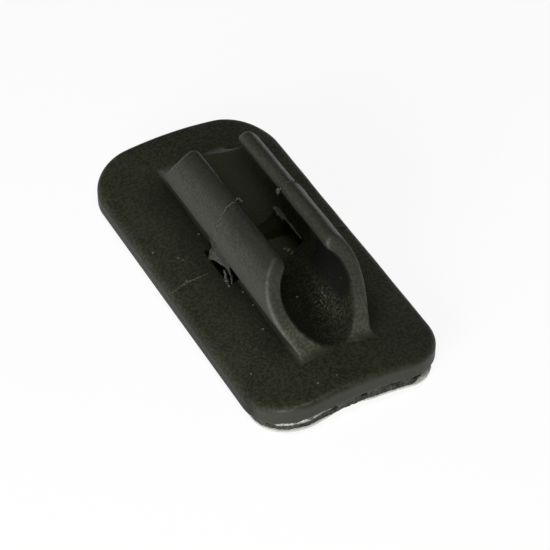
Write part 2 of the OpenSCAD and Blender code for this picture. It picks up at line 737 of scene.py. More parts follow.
# Painted light and shade on the channel's outside: its flank paler towards the foot, its left half darker
# below the lip.
OUTSIDE_PAINTED_LIGHT = (
    Layer("pale flank", (0.055, 0.058, 0.046), ((Axis.Z, 6.8, 10.0, 0.75, 0), (OFF_BORE, 4.5, 4.8, 0, 1))),
    Layer(
        "shade under the left lip", (0.006, 0.0064, 0.0035),
        ((Axis.Z, 10.1, 11.5, 0, 0.7), (Axis.Z, 11.45, 11.9, 1, 0), (Axis.X, -1.5, -0.5, 1, 0)),
    ),
)
CHANNEL_LAYERS = (
    # Painted light: the channel's ends and end faces are painted lighter, two-toned by the grain.
    Layer("end faces", (0.027, 0.0285, 0.018), ((ALONG, 10.5, 13.5, 0, 0.8),), (0.048, 0.0505, 0.035)),
    # Painted shade: darker, and rougher, in the crease along the channel's foot, short of its ends.
    Layer(
        "crease at the foot", (0.004, 0.0044, 0.0015),
        ((OFF_ARCH, 35.3, 35.7, 0.85, 0), (ALONG, 12.6, 13.6, 1, 0)), matt=0.47,
    ),
    # Painted shade: darker just above the plate, where the channel's ends land on it.
    Layer(
        "landing of the ends", (0.012, 0.0127, 0.0055),
        ((OFF_ARCH, 35.05, 35.5, 0.85, 0), (ALONG, 10.5, 13.5, 0, 1)),
    ),
    Layer(
        "rubbed patch", (0.0085, 0.0091, 0.0052),
        (
            (Spot((-3.3, -2.9, 11.6)), 1.35, 3.0, 1, 0), (Axis.Y, -0.3, -0.1, 1, 0),
            (Noise(0.275, 1, 0.6), 0.42, 0.62, 0, 0.6),
        ),
    ),
    # Painted shade inside the bore, and painted light towards its back.
    Layer("bore", (0.003, 0.0033, 0.0008), (IN_BORE,), (0.010, 0.0109, 0.0038), matt=0.3),
    Layer("back of the bore", (0.020, 0.0213, 0.0105), (IN_BORE, (Axis.Y, 0.0, 7.0, 0, 1))),
    # Painted highlights: glints on the grain inside the bore, in its front half.
    Layer(
        "glints", PAINTED_GLINT,
        ((Spot((1.8, -9.9, 0), (1, 0.45, 0)), 0.19, 1.9, 1, 0.05), (Noise(0.1875), *GLINT_SPAN), IN_BORE),
    ),
    # Painted shade: the bore's right wall is darkened in its front half.
    Layer(
        "bore's right wall", (0.0008, 0.0009, 0.0004),
        (IN_BORE, (Axis.Y, -11.8, -10.6, 0, 1), (Axis.Y, -5.0, -4.0, 1, 0), (Axis.X, 2.1, 3.0, 0, 0.85)),
    ),
)
PLATE_CRUMBS = crumbs((
    (-8.99, 5.52, 3.34, 0.16), (-3.76, -18.13, 4.31, 0.16), (-1.81, -18.18, 4.47, 0.13),
    (-8.29, -13.55, 3.52, 0.12), (-4.86, -9.47, 4.18, 0.12), (-4.23, 4.95, 4.26, 0.13),
    (-4.23, -4.27, 4.26, 0.13), (-7.33, 3.36, 3.74, 0.12), (-7.06, 2.82, 3.8, 0.1),
    (-4.21, -6.27, 4.26, 0.13),
))
CHANNEL_CRUMBS = crumbs(((-0.17, -7.6, 4.63, 0.15), (3.3, -9.6, 7.2, 0.15)))
# Painted shade: the foam is an even dark colour under the window, which lies in shade.
SHADE_UNDER_WINDOW = Layer("under the window", (0.019, 0.020, 0.009), ((Spot(), 7.0, 12.0, 1, 0),))
# Painted shade: the liner's rim is greyed, more at its left, where its edge lies partly in shade.
PAINTED_SHADE_ON_RIM = Layer(
    "soiled rim", (0.1, 0.1, 0.095), ((Rim((4.9, 15.5)), 3.4, 4.2, 0, 0.55), (Axis.X, 3.0, 7.0, 1, 0.4))
)

PLATE_FINISH = MouldedPlastic(
    "grained_plastic", dark=(0.0070, 0.0075, 0.0042), light=(0.0276, 0.0290, 0.0165),
    grain=0.27, grain_depth=0.03, roughness=0.48, shine=0.15, contrast=0.5,
    layers=PLATE_LAYERS + PLATE_CRUMBS, fade=((Rim((5.0, 15.0)), 4.15, 4.5, 1, 0.12),),
)
CHANNEL_FINISH = MouldedPlastic(
    "smooth_plastic", dark=(0.016, 0.0172, 0.0125), light=(0.028, 0.0298, 0.0225),
    grain=0.25, grain_depth=0.008, shine=0.17,
    layers=OUTSIDE_PAINTED_LIGHT + CHANNEL_LAYERS + (CUT_FACE_SHADE,) + CHANNEL_CRUMBS,
    pitted=((OFF_BORE, 3.52, 3.74, 3.125, 0),),
)
WEB_FINISH = replace(CHANNEL_FINISH, name="web_plastic", layers=CHANNEL_LAYERS + CHANNEL_CRUMBS)
FLASH_FINISH = MouldedPlastic(
    "torn_plastic", dark=(0.018, 0.0185, 0.014), light=(0.05, 0.051, 0.042), grain=0.2, grain_depth=0.02
)
SCRAP_FINISH = replace(
    FLASH_FINISH, name="scrap_plastic", dark=(0.004, 0.0044, 0.0025), light=(0.015, 0.0162, 0.011)
)
FOAM_FINISH = CutFoam(layers=(SHADE_UNDER_WINDOW,))
LINER_FINISH = LinerFilm(layers=(PAINTED_SHADE_ON_RIM,))
# The pressed-out adhesive, whose pale speckles are painted highlights of its glossy surface.
BEAD_FINISH = LinerFilm(
    "pressed_adhesive_with_painted_highlights", (0.30, 0.30, 0.29), (0.03, 0.03, 0.028), (0.24, 0.44), Noise(0.45, 3, 0.55)
)


# Shape of the part


@dataclass
class BasePlate:
    """Arched plate with rounded corners and edges, and the window through it."""

    arch: Arch
    window: Window
    half_w: float = 10.0
    half_l: float = 20.0
    corner: float = 5.0
    edge: float = 0.6
    under_edge: float = 0.38
    waviness: float = 0.025
    wave_depth: Span = (1.2, 0.2)
    wave_lengths: Span = (14.0, 19.0)
    sides: tuple[int, int] = (104, 64)
    corner_points: int = 28
    top_rows: int = 34
    edge_rows: int = 8

    def outline(self, inset: float) -> np.ndarray:
        """The plate's outline, drawn in by an inset."""
        size = (self.half_w - inset, self.half_l - inset, self.corner - inset)
        return rounded_rectangle(*size, self.sides, self.corner_points)

    def window_line(self) -> np.ndarray:
        """The window's outline, with as many points as the plate's.

        Returns:
            Points of the closed line, shape (n, 2).
        """
        w = self.window
        plan = rounded_rectangle(w.half_w, (w.back - w.front) / 2, w.corner, self.sides, self.corner_points)
        return plan + (0, (w.back + w.front) / 2)

    def build(self) -> bpy.types.Object:
        """A closed profile carried round the plate: top, rounded edge, side, underside and window wall.

        Returns:
            The plate's object.
        """
        crown = self.arch.crown
        under_plate = self.arch.under_plate
        hole = self.window_line()
        reach = np.linspace(0, 1, self.top_rows)[:, None, None]
        quarter = np.linspace(0, np.pi / 2, self.edge_rows)[1:]
        top = hole + reach * (self.outline(self.edge) - hole)
        rows = [lift(top, self.arch.height(top[..., 0], crown))]
        for turn in quarter:
            plan = self.outline(self.edge * (1 - math.sin(turn)))
            drop = self.edge * (1 - math.cos(turn))
            rows.append(lift(plan, self.arch.height(plan[:, 0], crown) - drop)[None])
        wall = self.outline(0)
        high = self.arch.height(wall[:, 0], crown) - self.edge
        low = self.arch.height(wall[:, 0], under_plate) + self.under_edge
        down = np.linspace(0, 1, self.edge_rows)[1:, None]
        rows.append(lift(np.broadcast_to(wall, (len(down), *wall.shape)), high + down * (low - high)))
        for turn in quarter:
            plan = self.outline(self.under_edge * (1 - math.cos(turn)))
            rise = self.under_edge * (1 - math.sin(turn))
            rows.append(lift(plan, self.arch.height(plan[:, 0], under_plate) + rise)[None])
        under = hole + reach[::-1][1:] * (self.outline(self.under_edge) - hole)
        rows.append(lift(under, self.arch.height(under[..., 0], under_plate)))
        grid = np.concatenate(rows)
        grid[..., 2] += self.sink(grid)
        return Shell().add(grid, (True, True)).to_object("base_plate")

    def sink(self, grid: np.ndarray) -> np.ndarray:
        """Slow unevenness of the moulded top, by seeded ripples along X and Y, none of it on the underside.

        Args:
            grid: the plate's points.

        Returns:
            Height to add to each point.
        """
        below = self.arch.height(grid[..., 0], self.arch.crown) - grid[..., 2]
        across, along = (ripple(grid[..., k] / self.wave_lengths[k], 3 + 2 * k, 4) for k in (0, 1))
        return self.waviness * smoothstep(*self.wave_depth, below) * across * along


@dataclass
class ChannelHalf:
    """One half of the channel: a C-shaped section carried from a hollow end to the seam.

    Counts are the points of a wall's parts: lip, wall to the window, wall below, foot and sunk part.
    Sections are those round the end's edge, on to the window and on to the seam.
    """

    name: str
    end: End
    arch: Arch
    window: Window
    bore_r: float
    wall: float
    lip_left: float
    lip_right: float
    lap: float = 0.0
    axis_height: float = 8.066
    half_foot: float = 15.0
    end_slope: float = 28.0
    end_r: float = 13.0
    foot_r: float = 0.35
    outer_edge: float = 0.55
    inner_edge: float = 0.27
    lip_edge: float = 0.55
    lip_rise: Span = (9.5, 11.6)
    foot_edge: float = 0.2
    foot_rise: Span = (0.2, 1.2)
    window_lap: float = 0.03
    sunk: float = 0.8
    drift: float = 0.08
    drift_rise: Span = (-0.1, 0.9)
    waver: float = 0.02
    waver_length: float = 17.0
    waver_rise: Span = (1.0, 4.0)
    counts: tuple[int, int, int, int, int] = (12, 40, 14, 10, 16)
    sections: tuple[int, int, int] = (9, 44, 12)
    face_rows: int = 5

    @property
    def outer_r(self) -> float:
        """Radius of the channel's outside."""
        return self.bore_r + self.wall

    @property
    def cut(self) -> int:
        """Step of the section at the window's top."""
        return self.counts[0] + self.counts[1]

    def side_path(self, side: Side, lip: float) -> tuple[np.ndarray, np.ndarray]:
        """Outer and inner line of one wall, from the tip of its lip to the middle of the floor.

        Both have the same number of points, and reach the window's top at the same one.

        Args:
            side: which wall.
            lip: angle of the lip's centre over the bore's axis, degrees.

        Returns:
            The outer and the inner line, each shape (n, 2), in X and Z.
        """
        n_lip, n_wall, n_low, n_foot, n_under = self.counts
        axis = (0.0, self.axis_height)
        lean = math.pi - math.radians(lip)
        out = np.array([math.cos(lean), math.sin(lean)])
        tip = np.array([math.sin(lean), -math.cos(lean)])
        turn = np.linspace(0, np.pi / 2, n_lip, endpoint=False)[:, None]
        centre = axis + (self.bore_r + self.wall / 2) * out
        lip_out = centre + self.wall / 2 * (np.cos(turn) * tip + np.sin(turn) * out)
        lip_in = centre + self.wall / 2 * (np.cos(turn) * tip - np.sin(turn) * out)
        drop = self.window.top - self.axis_height
        cut_out = math.pi - math.asin(drop / self.outer_r)
        cut_in = math.pi - math.asin(drop / self.bore_r)
        foot = self.foot_centre()
        foot_turn = math.atan2(foot[1] - self.axis_height, foot[0]) % (2 * math.pi)
        to_arch = math.atan2(self.arch.axis_z - foot[1], -foot[0])
        landing = foot + self.foot_r * np.array([math.cos(to_arch), math.sin(to_arch)])
        under_r = self.arch.crown - self.sunk
        spread = math.atan2(landing[1] - self.arch.axis_z, landing[0])
        outer = np.concatenate([
            lip_out,
            arc(axis, self.outer_r, lean, cut_out, n_wall),
            arc(axis, self.outer_r, cut_out, foot_turn, n_low),
            arc(tuple(foot), self.foot_r, foot_turn - math.pi, to_arch, n_foot),
            landing[None],
            arc((0.0, self.arch.axis_z), under_r, spread, math.pi / 2, n_under - 1),
            [(0.0, self.arch.axis_z + under_r)],
        ])
        inner = np.concatenate([
            lip_in,
            arc(axis, self.bore_r, lean, cut_in, n_wall),
            arc(axis, self.bore_r, cut_in, 1.5 * math.pi, n_low + n_foot + n_under),
            [(0.0, self.axis_height - self.bore_r)],
        ])
        flip = (-side.value, 1)
        return outer * flip, inner * flip

    def foot_centre(self) -> np.ndarray:
        """Centre of the rounding between the left wall's outside and the plate, which touches both.

        Returns:
            The centre, in X and Z.
        """
        from_arch = self.arch.crown + self.foot_r
        from_bore = self.outer_r + self.foot_r
        rise = self.axis_height - self.arch.axis_z
        up = (from_arch**2 - from_bore**2 + rise**2) / (2 * rise)
        return np.array([-math.sqrt(from_arch**2 - up**2), self.arch.axis_z + up])

    def loop(self) -> tuple[np.ndarray, np.ndarray, int]:
        """The closed section with its outward normals.

        Returns:
            Points and normals, shape (n, 2), and the number of steps along the outside.
        """
        left_out, left_in = self.side_path(Side.LEFT, self.lip_left)
        right_out, right_in = self.side_path(Side.RIGHT, self.lip_right)
        outer = np.concatenate([left_out, right_out[-2::-1]])
        inner = np.concatenate([left_in, right_in[-2::-1]])
        points = np.concatenate([outer, inner[-2:0:-1]])
        after = np.roll(points, -1, 0)
        along = after - np.roll(points, 1, 0)
        normal = np.stack([-along[:, 1], along[:, 0]], 1)
        normal /= np.linalg.norm(normal, axis=1, keepdims=True) + 1e-12
        area = (points[:, 0] * after[:, 1] - after[:, 0] * points[:, 1]).sum()
        return points, normal * -math.copysign(1, area), len(outer) - 1

    def end_y(self, z: np.ndarray) -> np.ndarray:
        """Place of the hollow end face: an arc that leaves the plate at a slope and steepens.

        Args:
            z: heights.

        Returns:
            The end face's Y at each height.
        """
        slope = math.radians(self.end_slope)
        high = self.arch.crown + self.arch.axis_z + self.end_r * math.cos(slope) - z
        centre = self.half_foot + self.end_r * math.sin(slope)
        return self.end.value * (centre - np.sqrt(self.end_r**2 - high**2))

    def edges(self, flat: np.ndarray, steps: int) -> np.ndarray:
        """Radius of the end's rounded edge: larger at the lips, and small at the foot.

        Args:
            flat: points of the section.
            steps: steps along the outside.

        Returns:
            The radius at each point.
        """
        edge = np.where(np.arange(len(flat)) <= steps, self.outer_edge, self.inner_edge)
        edge = edge + (self.lip_edge - edge) * smoothstep(*self.lip_rise, flat[:, 1])
        over = flat[:, 1] - self.arch.height(flat[:, 0], self.arch.crown)
        return edge * (self.foot_edge + (1 - self.foot_edge) * smoothstep(*self.foot_rise, over))

    def build(self) -> bpy.types.Object:
        """The section carried along Y with a rounded end, the window left out, and its cut faces closed.

        Returns:
            The half's object.
        """
        flat, normal, steps = self.loop()
        inward = -self.end.value
        stop = self.window.front if self.end is End.FRONT else self.window.back
        stop += inward * self.window_lap
        seam = inward * self.lap
        round_end, to_window, to_seam = (np.linspace(0, 1, count) for count in self.sections)
        edge = self.edges(flat, steps)
        rows = []
        for turn in round_end * np.pi / 2:
            section = flat - (edge * (1 - math.sin(turn)))[:, None] * normal
            y = self.end_y(section[:, 1]) + inward * edge * (1 - math.cos(turn))
            rows.append(np.stack([section[:, 0], y, section[:, 1]], 1))
        first = rows[-1][:, 1]
        places = [first + share * (stop - first) for share in to_window[1:]]
        whole = len(rows) + len(places) - 1
        places += [np.full(len(flat), stop + share * (seam - stop)) for share in to_seam[1:]]
        grid = np.stack(rows + [np.stack([flat[:, 0], y, flat[:, 1]], 1) for y in places])
        columns = np.arange(len(flat))
        outside = (columns >= self.cut) & (columns < steps - self.cut)
        inside = (columns >= steps + self.cut) & (columns < 2 * steps - self.cut)
        keep = np.ones((len(grid) - 1, len(flat)), bool)
        keep[whole:, outside | inside] = False
        shell = Shell().add(grid, (False, True), keep)
        self.close(shell, grid, steps, whole)
        shell.points = [self.warp(p) for p in shell.points]
        return shell.to_object(self.name)

    def close(self, shell: Shell, grid: np.ndarray, steps: int, whole: int) -> None:
        """Adds the end faces and the window's cut faces, each ruled between outer and inner line.

        Args:
            shell: the shell that they close.
            grid: its rows of sections.
            steps: steps along the outside.
            whole: row at which the window starts.
        """
        across = np.linspace(0, 1, self.face_rows)[:, None, None]
        outer = grid[:, : steps + 1]
        inner = np.concatenate([grid[:, :1], grid[:, : steps - 1 : -1]], 1)
        far = steps - self.cut
        lines = [np.s_[0, :], np.s_[whole, self.cut : far + 1], np.s_[-1, : self.cut + 1], np.s_[-1, far:]]
        for line in lines + [np.s_[whole:, self.cut], np.s_[whole:, far]]:
            shell.add(outer[line] + across * (inner[line] - outer[line]))

    def warp(self, points: np.ndarray) -> np.ndarray:
        """The moulding's warp: the channel stands a little to the right, and its walls waver along Y.

        Args:
            points: points of the half as it was designed.

        Returns:
            The warped points.
        """
        high = points[:, 2] - (self.arch.crown + self.arch.axis_z)
        moved = points.copy()
        moved[:, 0] += self.drift * smoothstep(*self.drift_rise, high)
        uneven = ripple(points[:, 1] / self.waver_length, 11, 4)
        moved[:, 0] += self.waver * uneven * smoothstep(*self.waver_rise, high)
        return moved


@dataclass(frozen=True)
class Flake:
    """A torn scrap: its middle line, half width at each point, direction of the width and a seed."""

    line: Marks
    width: tuple[float, ...]
    lay: Place
    seed: int


@dataclass
class MouldFlash:
    """Thin ridges along the mould's seam, and torn flakes at the window.

    Ridges are marks of X, Y and half width. Curtains are marks of Y, top, low edge and flare.
    """

    arch: Arch
    front: ChannelHalf
    step: float = 0.15
    thick: float = 0.05
    fin: Span = (0.055, 0.075)
    fin_turns: float = 6.0
    hang_at: float = -4.95
    hang_spread: float = 0.1
    crumb_width: float = 0.1
    crumb_lay: Place = (0.5, 0.6, 0.6)
    flake_thick: float = 0.06
    PLATE_LEFT = (
        (-9.9, -0.2, 0.05), (-9.47, -0.13, 0.07), (-8.77, -0.02, 0.08), (-8.22, 0.1, 0.13),
        (-7.97, 0.16, 0.20), (-7.67, 0.03, 0.12), (-7.18, -0.1, 0.06), (-6.58, -0.13, 0.05),
        (-6.1, -0.19, 0.03), (-5.8, -0.19, 0.02),
    )
    PLATE_RIGHT = (
        (5.2, 0.25, 0.02), (6.5, 0.2, 0.03), (8.0, 0.3, 0.04), (8.9, 0.36, 0.06), (9.3, 0.22, 0.06),
        (9.75, 0.05, 0.04),
    )
    HEM = (
        (-2.0, 6.2, 6.05, 2), (-0.7, 6.2, 5.5, 2), (0.15, 6.2, 5.15, 2), (0.8, 6.1, 4.6, 2),
        (1.15, 5.6, 4.3, 2), (1.35, 4.9, 4.4, 2),
    )
    WEB = (
        (-2.8, 6.7, 6.0, 0.9), (0.6, 6.7, 5.95, 0.8), (1.3, 6.7, 5.9, 0.5), (2.2, 6.7, 5.7, 0.15),
        (2.8, 6.7, 5.5, 0.0),
    )
    SCRAPS = (
        Flake(
            ((-4.9, -1.7, 5.3), (-4.98, -2.15, 4.8), (-5.05, -2.6, 4.45), (-5.12, -3.05, 4.22)),
            (0.12, 0.17, 0.2, 0.12), (0.88, -0.47, 0.1), 71,
        ),
        Flake(
            ((-4.5, -1.9, 5.4), (-4.5, -2.4, 4.9), (-4.7, -2.9, 4.4)),
            (0.08, 0.12, 0.08), (0.88, -0.47, 0.1), 77,
        ),
    )
    BROW = Flake(
        ((2.95, 2.75, 6.6), (2.98, 1.6, 6.6), (3.03, 0.4, 6.6), (3.06, -2.7, 6.6)),
        (0.2, 0.3, 0.12, 0.05), (0.9, 0.0, 0.44), 87,
    )
    CRUMBS = (
        (((-2.8, 0.05, 11.7), (-2.4, 0.4, 11.75), (-2.1, 0.5, 11.6), (-2.0, 0.1, 11.4)), 111),
        (((2.35, 0.2, 11.4), (2.1, 0.1, 11.3), (1.9, 0.05, 11.2), (1.85, -0.15, 11.1)), 121),
        (((1.9, 0.3, 11.25), (1.75, 0.1, 11.2), (1.8, -0.1, 11.0)), 131),
        (((1.6, -1.72, 5.2), (1.85, -1.93, 5.25), (2.1, -2.2, 5.25)), 141),
        (((1.8, -2.75, 5.3), (1.97, -2.64, 5.3), (2.2, -2.55, 5.3)), 151),
    )

    def ridge(self, shell: Shell, marks: Marks, seed: int) -> None:
        """A low bead along the plate's top.

        Args:
            shell: where it goes.
            marks: X, Y and half width along the seam.
            seed: number that picks its unevenness.
        """
        at, aside, half = np.array(marks).T
        x = np.linspace(at[0], at[-1], 120)
        y = np.interp(x, at, aside) + 0.03 * ripple(x, seed)
        width = np.interp(x, at, half) * (1 + 0.35 * ripple(x * 1.7, seed + 1))
        path = np.stack([x, y, self.arch.height(x, self.arch.crown)], 1)
        rise = 0.8 * width[:, None] * np.stack([x / self.arch.crown, 0 * x, 0 * x + 1], 1)
        shell.tube(path, width[:, None] * np.array([0, 1, 0]), rise)

    def rib(self, shell: Shell, first: int, last: int, seed: int) -> None:
        """A fin along the seam on the channel's outside.

        Args:
            shell: where it goes.
            first: first point of the front half's section.
            last: the point after its last one.
            seed: number that picks its unevenness.
        """
        flat, normal, _ = self.front.loop()
        step = np.arange(first, last)
        share = np.linspace(0, self.fin_turns, len(step))
        high = np.maximum(self.fin[0] + self.fin[1] * ripple(share, seed), 0.004)
        y = 0.02 + 0.04 * ripple(share, seed + 1)
        path = self.front.warp(np.stack([flat[step, 0], y, flat[step, 1]], 1))
        rise = high[:, None] * np.stack([normal[step, 0], 0 * y, normal[step, 1]], 1)
        shell.tube(path, np.full((len(step), 1), self.thick) * np.array([0, 1, 0]), rise)

    def flake(self, shell: Shell, flake: Flake) -> None:
        """A torn scrap: a flat ellipse carried along a line, with a ragged width.

        Args:
            shell: where it goes.
            flake: its line, width, lay and seed.
        """
        line = np.array(flake.line)
        t = np.linspace(0, 1, 48)
        at = np.linspace(0, 1, len(line))
        path = np.stack([np.interp(t, at, line[:, k]) for k in range(3)], 1)
        path += 0.05 * np.stack([ripple(t * 1.5, flake.seed + k, 5) for k in range(3)], 1)
        half = np.interp(t, at, flake.width) * (1 + 0.3 * ripple(t * 1.6, flake.seed + 5, 5))
        lay = np.array(flake.lay) / np.linalg.norm(flake.lay)
        face = np.cross(np.gradient(path, axis=0), lay)
        face /= np.linalg.norm(face, axis=1, keepdims=True)
        shell.tube(path, half[:, None] * lay, self.flake_thick * face, 10)

    def curtain(self, shell: Shell, marks: Marks, ragged: float, seed: int) -> None:
        """A thin torn sheet at the window's left side.

        It is a grid along Y and from its top edge down to its low edge. Where its flare is 0 it follows the
        channel's outside, where it is 1 it bends to hang straight down, and where it is 2 it hangs straight
        all the way. Its thickness falls to nothing at its rim.

        Args:
            shell: where it goes.
            marks: Y, top, low edge and flare along the window.
            ragged: how uneven its low edge is.
            seed: number that picks its raggedness.
        """
        at, *lines = np.array(marks).T
        y = np.linspace(at[0], at[-1], 90)[:, None]
        down = np.linspace(0, 1, 14)
        top, low, flare = (np.interp(y, at, line) for line in lines)
        low = low + ragged * ripple(y * 0.9, seed, 9)
        z = top + down * (low - top)
        radius = self.front.outer_r - 0.04 - self.step * smoothstep(-0.2, 0.3, y)
        follow = -np.sqrt(radius**2 - (z - self.front.axis_height) ** 2) + self.front.drift
        hang = np.clip(flare * smoothstep(0.0, 0.5, down) + np.maximum(flare - 1, 0), 0, 1)
        straight = self.hang_at - self.hang_spread * down
        x = follow + hang * (straight - follow) + 0.4 * ragged * ripple(y + 2 * down, seed + 2)
        rim = smoothstep(0, 0.2, y - y[0]) * smoothstep(0, 0.2, y[-1] - y) * smoothstep(1.0, 0.8, down)
        half = np.stack([self.thick * rim, 0 * rim, 0 * rim], -1)
        sheet = np.stack([x, y + 0 * x, z], -1)
        shell.add(np.concatenate([sheet - half, (sheet + half)[:, ::-1]], 1), (False, True))

    def build(self) -> list[bpy.types.Object]:
        """The seam's ridges and the window's torn edges.

        Returns:
            The ridges, the flakes, the web in the window's left back corner, and a scrap in the window.
        """
        seam, torn, web, scrap = (Shell() for _ in range(4))
        self.ridge(seam, self.PLATE_LEFT, 21)
        self.ridge(seam, self.PLATE_RIGHT, 31)
        steps = self.front.loop()[2]
        self.rib(seam, 2, self.front.cut - 2, 41)
        self.rib(seam, steps - self.front.cut + 2, steps - 2, 51)
        self.curtain(torn, self.HEM, 0.09, 61)
        self.curtain(web, self.WEB, 0.04, 65)
        for flake in self.SCRAPS:
            self.flake(scrap, flake)
        self.flake(torn, self.BROW)
        for marks, seed in self.CRUMBS:
            self.flake(torn, Flake(marks, (self.crumb_width,) * len(marks), self.crumb_lay, seed))
        shells = {"seam_flash": seam, "window_flakes": torn, "window_web": web, "window_scrap": scrap}
        return [shell.to_object(name) for name, shell in shells.items()]


@dataclass
class AdhesiveLayers:
    """Foam pad and release liner under the plate, and the adhesive that is pressed out.

    Notches, and the gap in the liner, are marks of X, width and depth.
    """

    arch: Arch
    pad_half_l: float = 19.85
    liner_half_l: float = 20.0
    corner: float = 4.5
    pad_swell: float = 0.34
    swell_from: Span = (2.5, 0.8)
    notch_depth: Span = (0.75, 0.4)
    drawn_in: float = 0.42
    drawn_x: Span = (5.6, 7.2)
    drawn_y: Span = (-13.0, -15.5)
    gap: Place = (-1.6, 2.6, 0.4)
    short: float = 0.12
    short_from: Span = (1.0, 3.0)
    short_to: Span = (6.5, 5.0)
    bead_r: float = 4.93
    bead_half: Span = (0.14, 0.07)
    bead_length: float = 6.0
    bead_start: float = 224.0
    bead_corner: Span = (-5.0, -15.0)
    sides: tuple[int, int] = (220, 120)
    corner_points: int = 36
    rows: int = 20
    edge_rows: int = 13
    notches: Marks = (
        (-2.9, 0.3, 0.9), (0.4, 0.3, 0.8), (3.8, 0.4, 0.8), (6.6, 0.5, 0.9), (8.1, 0.3, 0.6),
    )

    def rim(self, half_l: float) -> np.ndarray:
        """Outline of a layer of half a length."""
        return rounded_rectangle(self.arch.pad_half_w, half_l, self.corner, self.sides, self.corner_points)

    @staticmethod
    def bite(rim: np.ndarray, x: float, width: float, depth: float) -> np.ndarray:
        """Depth of a notch in the front of an outline, at each of its points."""
        return depth * np.exp(-(((rim[:, 0] - x) / width) ** 2)) * (rim[:, 1] < -15)

    def layer(
        self, half_l: float, low: float, high: float, ragged: np.ndarray, rise: float = 0.0
    ) -> np.ndarray:
        """A layer between two radii: from its middle line over the top, the cut edge and the underside.

        Args:
            half_l: half of its length.
            low: radius of its underside.
            high: radius of its top.
            ragged: how far its cut edge is drawn in, for each row of the edge and each point of the outline.
            rise: how far its top swells up at the rim of its two ends.

        Returns:
            Grid of points, closed round its columns.
        """
        rim = self.rim(half_l)
        spine = np.stack([0 * rim[:, 0], np.clip(rim[:, 1], self.corner - half_l, half_l - self.corner)], 1)
        away = rim - spine
        away /= np.linalg.norm(away, axis=1, keepdims=True)
        reach = (1 - np.linspace(1, 0, self.rows) ** 2.5)[:, None, None]
        depth = np.linspace(0, 1, self.edge_rows)
        edge = rim - np.broadcast_to(ragged, (len(depth), len(rim)))[..., None] * away
        top = spine + reach * (edge[0] - spine)
        under = (spine + reach[::-1] * (edge[-1] - spine))[1:]
        swell = rise * smoothstep(*(half_l - s for s in self.swell_from), np.abs(rim[:, 1]))
        radius = low + (1 - depth)[:, None] * (high + swell - low)
        side = lift(edge, np.sqrt(radius**2 - edge[..., 0] ** 2) + self.arch.axis_z)
        inset = np.linalg.norm(edge[0] - top, axis=-1)
        crest = lift(top, self.arch.height(top[..., 0], high) + swell * smoothstep(0.5, 0.0, inset))
        return np.concatenate([crest[:-1], side, lift(under, self.arch.height(under[..., 0], low))])

    def foam(self) -> bpy.types.Object:
        """The pad, with an uneven cut edge that has notches at its front and is drawn in at the right.

        Returns:
            The pad's object.
        """
        rim = self.rim(self.pad_half_l)
        depth = np.linspace(0, 1, self.edge_rows)[:, None]
        length = np.concatenate([[0], np.cumsum(np.linalg.norm(np.diff(rim, axis=0), axis=1))])
        ragged = 0.06 + 0.03 * ripple(length / 6, 91, 9)
        ragged = ragged + 0.05 * ripple(length / 2.3 + depth * 0.4, 95, 7)
        ragged = ragged + 0.25 * smoothstep(0.25, 0.1, depth + 0.1 * ripple(length / 3, 97, 9))
        for notch in self.notches:
            ragged = ragged + self.bite(rim, *notch) * smoothstep(*self.notch_depth, depth)
        corner = smoothstep(*self.drawn_x, rim[:, 0]) * smoothstep(*self.drawn_y, rim[:, 1])
        ragged = ragged + self.drawn_in * corner
        radii = (self.arch.under_pad, self.arch.under_plate)
        grid = self.layer(self.pad_half_l, *radii, ragged, self.pad_swell)
        return Shell().add(grid, (False, True)).to_object("foam_pad_cut", 60)

    def liner(self) -> bpy.types.Object:
        """The liner, a thin film that follows the pad and falls short of it in two places.

        Returns:
            The liner's object.
        """
        rim = self.rim(self.liner_half_l)
        x = rim[:, 0]
        short = self.short * smoothstep(*self.short_from, x) * smoothstep(*self.short_to, x)
        short = short + self.bite(rim, *self.gap)
        ragged = 0.02 + 0.02 * ripple(x / 5 + rim[:, 1] / 7, 99) + short
        grid = self.layer(self.liner_half_l, self.arch.under_liner, self.arch.under_pad, ragged)
        return Shell().add(grid, (False, True)).to_object("liner_film", 50)

    def bead(self) -> bpy.types.Object:
        """Adhesive pressed out along the front left of the plate's lower edge: an uneven bead on the outline.

        Returns:
            The bead's object.
        """
        t = np.linspace(0, 1, 150)
        run = self.bead_length * t
        start = math.radians(self.bead_start)
        end = 1.5 * np.pi
        turn = np.minimum(start + run / self.bead_r, end)
        past = np.maximum(run - self.bead_r * (end - start), 0)
        x = self.bead_corner[0] + self.bead_r * np.cos(turn) + past
        y = self.bead_corner[1] + self.bead_r * np.sin(turn)
        half = self.bead_half[0] + self.bead_half[1] * ripple(t * 1.6, 101, 9)
        half = half * smoothstep(0, 0.12, t) * smoothstep(1, 0.6, t) + 0.01
        z = self.arch.height(x, self.arch.under_plate) + 0.04 + 0.05 * ripple(t * 1.3, 105, 5)
        out = np.stack([np.cos(turn), np.sin(turn), 0 * turn], 1)
        path = np.stack([x, y, z], 1)
        bead = Shell().tube(path, 0.8 * half[:, None] * out, half[:, None] * np.array([0, 0, 1]), 10)
        return bead.to_object("adhesive_bead")


# Studio


